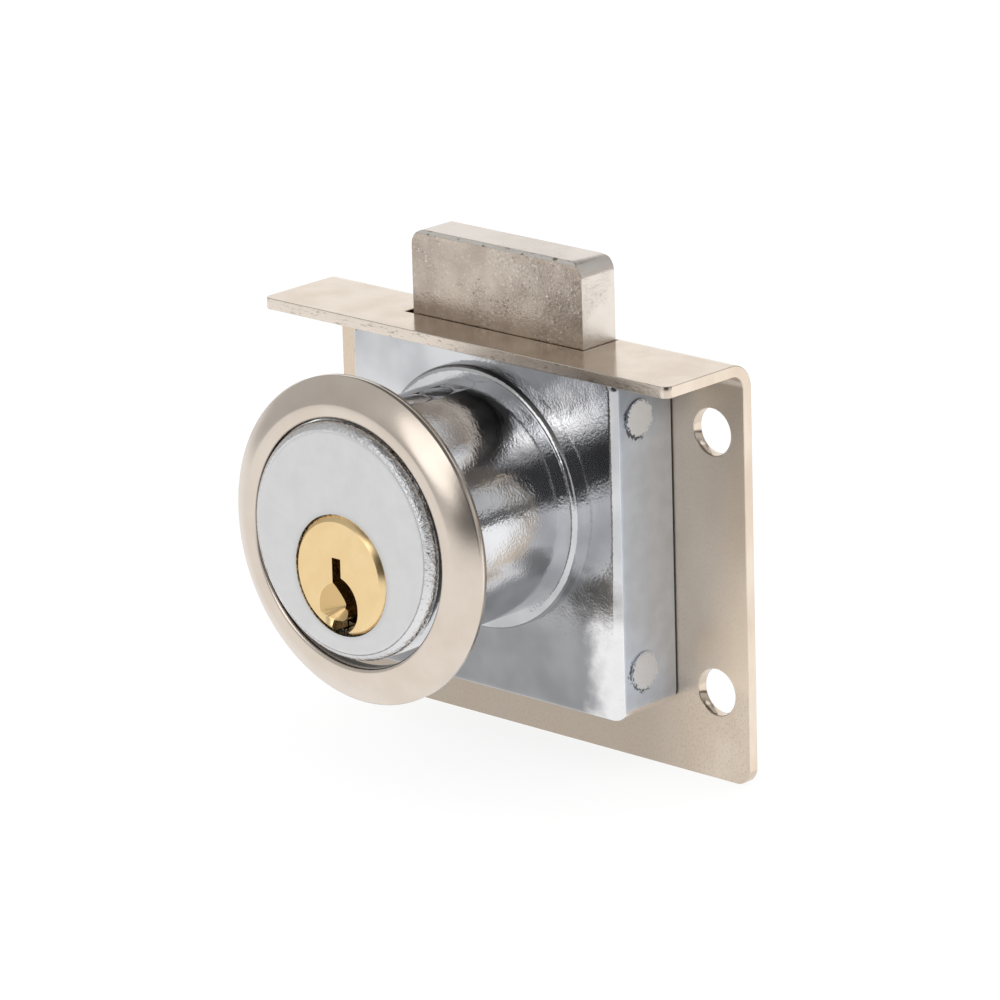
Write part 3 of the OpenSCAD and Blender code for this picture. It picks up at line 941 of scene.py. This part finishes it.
@dataclass(frozen=True)
class SoftEdges:
    """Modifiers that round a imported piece's edges and keep its flat faces flat."""

    width: float
    weld: float = 0.0005 * MM
    flat: float = math.radians(0.5)
    sharp: float = math.radians(40)
    segments: int = 2
    weight: int = 100

    def put_on(self, piece: bpy.types.Object) -> None:
        """Adds the modifiers to a piece.

        Args:
            piece: The piece.
        """
        weld = piece.modifiers.new("weld", "WELD")
        weld.merge_threshold = self.weld
        whole = piece.modifiers.new("whole_faces", "DECIMATE")
        whole.decimate_type = "DISSOLVE"
        whole.angle_limit = self.flat
        bevel = piece.modifiers.new("soft_edges", "BEVEL")
        bevel.width = self.width
        bevel.segments = self.segments
        bevel.limit_method = "ANGLE"
        bevel.angle_limit = self.sharp
        even = piece.modifiers.new("even_shading", "WEIGHTED_NORMAL")
        even.mode = "FACE_AREA"
        even.weight = self.weight


class FinishRack:
    """Every finish of the lock, by its slot."""

    def __init__(self, finishes: Mapping[Slot, Finish]) -> None:
        """Makes each finish's material once."""
        self.materials = {slot: finish.material() for slot, finish in finishes.items()}

    def __getitem__(self, slot: Slot) -> bpy.types.Material:
        """Gives the material of a slot."""
        return self.materials[slot]


@dataclass
class Assembly:
    """A sub-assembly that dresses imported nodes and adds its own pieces."""

    finishes: FinishRack

    def node(self, name: str, slot: Slot, soften: float = 0.0) -> None:
        """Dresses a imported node.

        Args:
            name: The node's name.
            slot: The finish that it takes.
            soften: Width of the softened edges, or 0 for none.
        """
        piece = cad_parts[name]
        dress(piece, self.finishes[slot])
        if soften:
            SoftEdges(soften).put_on(piece)
        log.info("dressed %s", name)

    def add(self, piece: bpy.types.Object, body: Body, slot: Slot) -> None:
        """Dresses a new piece and lets it ride on a body.

        Args:
            piece: The new piece.
            body: The body that carries it.
            slot: The finish that it takes.
        """
        dress(piece, self.finishes[slot])
        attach(piece, body.value)
        log.info("made %s", piece.name)


@dataclass
class MountingPlate(Assembly):
    """The bent sheet with its flange."""

    soft: float = 0.12 * MM

    def build(self) -> None:
        """Dresses the plate."""
        self.node("mounting_plate", Slot.PLATE, self.soft)


@dataclass
class CastCase(Assembly):
    """The casting with its barrel, and the caps over its pin chambers."""

    soft: float = 0.1 * MM

    def build(self) -> None:
        """Dresses the casting and the caps."""
        self.node("case", Slot.CASTING, self.soft)
        self.node("chamber_caps", Slot.CASTING)


@dataclass
class BoltBar(Assembly):
    """The flat bolt."""

    soft: float = 0.08 * MM

    def build(self) -> None:
        """Dresses the bolt."""
        self.node("bolt", Slot.BOLT, self.soft)


@dataclass
class Cylinder(Assembly):
    """The plug and its cam."""

    soft: float = 0.05 * MM

    def build(self) -> None:
        """Dresses the plug and the cam."""
        self.node("plug", Slot.PLUG, self.soft)
        self.node("cam", Slot.CAM, self.soft)


@dataclass
class PinStack(Assembly):
    """The five pin chambers' pins, and the springs that are wound anew."""

    count: int = 5
    wire_r: float = 0.15 * MM
    curls: int = 6
    curl_steps: int = 24
    sides: int = 10
    pressed: float = 0.65

    def build(self) -> None:
        """Dresses the pins and winds the springs."""
        for n in range(1, self.count + 1):
            self.node(f"key_pin_{n}", Slot.KEY_PIN)
            self.node(f"driver_pin_{n}", Slot.DRIVER)
            self.wind(n)

    def wind(self, n: int) -> None:
        """Winds one spring in the place of its plain one.

        Args:
            n: The chamber's number.
        """
        low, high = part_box(f"pin_spring_{n}")
        middle = (low + high) / 2
        mean_r = (high.x - low.x) / 2 - self.wire_r
        rise = high.z - low.z - 2 * self.wire_r
        steps = self.curls * self.curl_steps
        points = []
        for i in range(steps + 1):
            angle = math.tau * i / self.curl_steps
            x, y = middle.x + mean_r * math.cos(angle), middle.y + mean_r * math.sin(angle)
            points.append(Vector((x, y, low.z + self.wire_r + rise * i / steps)))
        spring = tube(f"spring_coil_{n}", points, self.wire_r, self.sides)
        self.add(spring, Body.HOUSING, Slot.SPRING)
        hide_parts(f"pin_spring_{n}")
        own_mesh(spring)


@dataclass
class TrimRing(Assembly):
    """The pressed ring, turned anew with a smoothly domed face."""

    bore_r: float = 11.5 * MM
    land: float = 1.3 * MM
    rise: float = 1.5 * MM
    sheet: float = 0.8 * MM
    rim: float = 0.6 * MM
    lip: float = 1.6 * MM
    edge: float = 0.4 * MM
    edge_steps: int = 8
    dome: float = 1.35
    dome_steps: int = 18
    steps: int = 192

    def build(self) -> None:
        """Turns the ring in the place of the plain one."""
        low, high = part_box("trim_ring")
        middle = (low + high) / 2
        profile = self.profile((high.x - low.x) / 2, -low.y)
        ring = lathe("trim_ring_turned", profile, (middle.x, 0.0, middle.z), self.steps)
        self.add(ring, Body.RING, Slot.RING)
        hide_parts("trim_ring")

    def profile(self, outer_r: float, front: float) -> list[tuple[float, float]]:
        """Draws the ring's section.

        Args:
            outer_r: The ring's outer radius.
            front: The reach of its land.

        Returns:
            Radius and reach of each point.
        """
        land_r = self.bore_r + self.land
        shares = [i / self.dome_steps for i in range(self.dome_steps + 1)]
        points = [(self.bore_r, front - self.lip)]
        for i in range(self.edge_steps + 1):
            turn = math.pi - math.pi / 2 * i / self.edge_steps
            out, ahead = self.edge * (1 + math.cos(turn)), self.edge * (1 - math.sin(turn))
            points.append((self.bore_r + out, front - ahead))
        for share in shares:
            fall = self.rise * share**self.dome
            points.append((land_r + (outer_r - land_r) * share, front - fall))
        points.append((outer_r, front - self.rise - self.rim))
        inner_r = outer_r - self.sheet
        for share in reversed(shares):
            fall = self.sheet + (self.rise + self.rim - self.sheet) * share**self.dome
            points.append((land_r + (inner_r - land_r) * share, front - fall))
        points.append((self.bore_r + self.sheet, front - self.sheet))
        points.append((self.bore_r + self.sheet, front - self.lip))
        return points


@dataclass(frozen=True)
class Card:
    """A patch of the studio that bright metal mirrors: a pale panel or a dark flag.

    Its place, width and height are in degrees as the lock sees it. The tone is how bright it is,
    and soft is how wide its edge fades, as a share of its distance.
    """

    azimuth: float
    elevation: float
    width: float
    height: float
    tone: float
    soft: float = 0.06


@dataclass(frozen=True)
class Lamp:
    """A square panel lamp that faces the lock: where it hangs, its side in metres and its watts."""

    azimuth: float = 6.0
    elevation: float = 28.0
    distance: float = 0.9
    size: float = 0.52
    power: float = 0.95

    def hang(self) -> None:
        """Adds the lamp to the scene."""
        place = direction(self.azimuth, self.elevation) * self.distance
        data = bpy.data.lights.new("key_panel", "AREA")
        data.size = self.size
        data.energy = self.power
        lamp = bpy.data.objects.new("key_panel", data)
        lamp.location = place
        lamp.rotation_euler = place.to_track_quat("Z", "Y").to_euler()
        bpy.context.scene.collection.objects.link(lamp)


@dataclass(frozen=True)
class Camera:
    """The camera, placed as the photograph's: its direction and roll in degrees."""

    azimuth: float = 43.465
    elevation: float = 17.040
    roll: float = -1.641
    distance: float = 632.2 * MM
    target: Point = (-20.204 * MM, 15.859 * MM, -10.050 * MM)
    lens: float = 236.8
    sensor: float = 36.0
    near: float = 0.01
    far: float = 20.0

    def set_up(self) -> None:
        """Adds the camera and makes it the scene's own."""
        back, roll = direction(self.azimuth, self.elevation), math.radians(self.roll)
        right = (-back).cross(UP).normalized()
        up = right.cross(-back)
        turned = right * math.cos(roll) + up * math.sin(roll)
        upright = up * math.cos(roll) - right * math.sin(roll)
        data = bpy.data.cameras.new("photo_camera")
        data.lens = self.lens
        data.sensor_width = self.sensor
        data.clip_start = self.near
        data.clip_end = self.far
        camera = bpy.data.objects.new("photo_camera", data)
        place = Matrix.Translation(Vector(self.target) + back * self.distance)
        camera.matrix_world = place @ Matrix((turned, upright, back)).transposed().to_4x4()
        bpy.context.scene.collection.objects.link(camera)
        bpy.context.scene.camera = camera


@dataclass(frozen=True)
class Floor:
    """A pale floor that is white to the camera, keeps a shadow and is clear from below."""

    half: float = 3.0
    gap: float = 0.05 * MM
    tone: Colour = (0.9, 0.9, 0.9)
    glow: float = 1.12
    glow_share: float = 0.75

    def lay(self) -> None:
        """Adds the floor just under the lock."""
        height = CAD_BOX[0].z - self.gap
        half = self.half

        def build(shape: bmesh.types.BMesh) -> None:
            """Adds the one large face."""
            corners = ((-half, -half), (half, -half), (half, half), (-half, half))
            shape.faces.new([shape.verts.new((x, y, height)) for x, y in corners])

        floor = named_mesh("studio_floor", build)
        floor.data.materials.append(self.material())
        floor.visible_glossy = False

    def material(self) -> bpy.types.Material:
        """Makes the floor's material.

        Returns:
            The material with its node tree.
        """
        made = bpy.data.materials.new("studio_floor")
        made.use_nodes = True
        tree = Tree(made.node_tree)
        plain = tree.node("ShaderNodeBsdfDiffuse", inputs={"Color": self.tone})
        glowing = {"Color": WHITE, "Strength": self.glow}
        white = tree.node("ShaderNodeEmission", inputs=glowing)
        clear = tree.node("ShaderNodeBsdfTransparent")
        seen = Value(tree, tree.once("ShaderNodeLightPath", "Is Camera Ray"))
        top = {0: seen * self.glow_share, 1: plain.outputs[0], 2: white.outputs[0]}
        both = tree.node("ShaderNodeMixShader", inputs=top)
        below = tree.once("ShaderNodeNewGeometry", "Backfacing")
        sides = {0: below, 1: both.outputs[0], 2: clear.outputs[0]}
        sheet = tree.node("ShaderNodeMixShader", inputs=sides)
        tree.node("ShaderNodeOutputMaterial", inputs={"Surface": sheet.outputs[0]})
        return made


@dataclass(frozen=True)
class Studio:
    """The room: soft light all round, and the table, wall, roof and cards that metal mirrors."""

    cards: Sequence[Card]
    glow: float = 0.9
    table_tone: float = 0.92
    wall_tone: float = 0.48
    roof_tone: float = 0.12
    table_edge: Band = (-0.17, -0.05)
    roof_edge: Band = (0.35, 0.75)
    ahead: Band = (0.0, 0.05)
    least_depth: float = 0.01

    def build(self) -> None:
        """Sets up the whole stage."""
        Camera().set_up()
        Floor().lay()
        Lamp().hang()
        self.world()
        bpy.context.scene.view_settings.view_transform = "Standard"

    def world(self) -> None:
        """Surrounds the lock with soft light, and with what bright metal mirrors."""
        world = bpy.data.worlds.new("studio")
        bpy.context.scene.world = world
        world.use_nodes = True
        world.cycles.sampling_method = "NONE"
        tree = Tree(world.node_tree)
        way = tree.once("ShaderNodeTexCoord", "Generated")
        _, _, height = tree.parts_of(way)
        tone = self.table_tone + height.ramp(*self.table_edge) * (self.wall_tone - self.table_tone)
        tone = tone + height.ramp(*self.roof_edge) * (self.roof_tone - self.wall_tone)
        for card in self.cards:
            mask = self.card_mask(tree, way, card)
            tone = mask * card.tone + (1.0 - mask) * tone
        mirrored = Value(tree, tree.once("ShaderNodeLightPath", "Is Glossy Ray"))
        camera = Value(tree, tree.once("ShaderNodeLightPath", "Is Camera Ray"))
        plain = self.glow + camera * (1.0 - self.glow)
        level = mirrored * tone + (1.0 - mirrored) * plain
        sky = tree.node("ShaderNodeBackground", inputs={"Color": WHITE, "Strength": level})
        tree.node("ShaderNodeOutputWorld", inputs={"Surface": sky.outputs[0]})

    def card_mask(self, tree: Tree, way: bpy.types.NodeSocket, card: Card) -> Value:
        """Finds how far a direction lies on a card.

        Args:
            tree: The world's tree.
            way: The direction's socket.
            card: The card.

        Returns:
            1 on the card and 0 off it.
        """
        out = direction(card.azimuth, card.elevation)
        side = out.cross(UP).normalized()
        depth = self.along(tree, way, out)
        mask = depth.ramp(*self.ahead)
        for axis, spread in ((side, card.width), (side.cross(out), card.height)):
            half = math.tan(math.radians(spread / 2))
            off = abs(self.along(tree, way, axis) / depth.larger(self.least_depth))
            mask = mask * off.ramp(half + card.soft, half - card.soft)
        return mask

    @staticmethod
    def along(tree: Tree, way: bpy.types.NodeSocket, axis: Vector) -> Value:
        """Measures a direction along an axis.

        Args:
            tree: The world's tree.
            way: The direction's socket.
            axis: The axis.

        Returns:
            The length along the axis.
        """
        inputs = {0: way, 1: tuple(axis)}
        made = tree.node("ShaderNodeVectorMath", {"operation": "DOT_PRODUCT"}, inputs)
        return Value(tree, made.outputs["Value"])


FINISHES: dict[Slot, Finish] = {
    Slot.PLATE: RubbedNickel(
        "plate_nickel_rubbed", (0.80, 0.69, 0.58), (0.70, 0.585, 0.47), 0.17
    ),
    Slot.CASTING: CastChrome(
        "chrome_over_casting", (0.735, 0.74, 0.76), (0.55, 0.555, 0.575), 0.12
    ),
    Slot.BOLT: TumbledNickel(
        "bolt_nickel_tumbled", (0.67, 0.585, 0.50), (0.50, 0.42, 0.355), 0.24
    ),
    Slot.PLUG: SatinBrass("plug_brass_satin", (0.97, 0.74, 0.41), (0.92, 0.68, 0.36), 0.26),
    Slot.CAM: Finish("cam_steel_turned", (0.60, 0.60, 0.61), (0.52, 0.52, 0.53), 0.3),
    Slot.RING: PolishedNickel(
        "ring_nickel_polished", (0.81, 0.72, 0.63), (0.76, 0.665, 0.575), 0.24
    ),
    Slot.KEY_PIN: Finish("pin_brass_turned", (0.80, 0.62, 0.34), (0.72, 0.54, 0.28), 0.28),
    Slot.DRIVER: Finish("pin_steel_ground", (0.66, 0.66, 0.68), (0.58, 0.58, 0.60), 0.25),
    Slot.SPRING: Finish("spring_steel_drawn", (0.60, 0.60, 0.62), (0.52, 0.52, 0.54), 0.3),
}

CARDS = (
    Card(azimuth=50, elevation=12, width=50, height=34, tone=0.05),
    Card(azimuth=22, elevation=3, width=12, height=10, tone=0.1, soft=0.03),
    Card(azimuth=-144, elevation=14, width=52, height=46, tone=1.02, soft=0.08),
    Card(azimuth=-68, elevation=45, width=18, height=12, tone=0.95, soft=0.04),
    Card(azimuth=135, elevation=-16, width=50, height=24, tone=1.15, soft=0.05),
    Card(azimuth=135, elevation=13, width=40, height=18, tone=0.6, soft=0.05),
    Card(azimuth=135, elevation=0, width=50, height=8, tone=0.12, soft=0.02),
    Card(azimuth=154, elevation=38, width=24, height=15, tone=1.1, soft=0.04),
    Card(azimuth=-174, elevation=46, width=40, height=13, tone=0.62, soft=0.05),
    Card(azimuth=26, elevation=37, width=20, height=12, tone=0.85, soft=0.03),
    Card(azimuth=-52, elevation=44, width=76, height=38, tone=0.52, soft=0.15),
    Card(azimuth=-112, elevation=4, width=26, height=18, tone=1.0),
)


def main() -> None:
    """Builds the studio and every sub-assembly."""
    logging.basicConfig(level=logging.INFO, format="%(name)s: %(message)s")
    Studio(CARDS).build()
    rack = FinishRack(FINISHES)
    for part in (MountingPlate, CastCase, BoltBar, Cylinder, PinStack, TrimRing):
        part(rack).build()


if __name__ == "__main__":
    main()
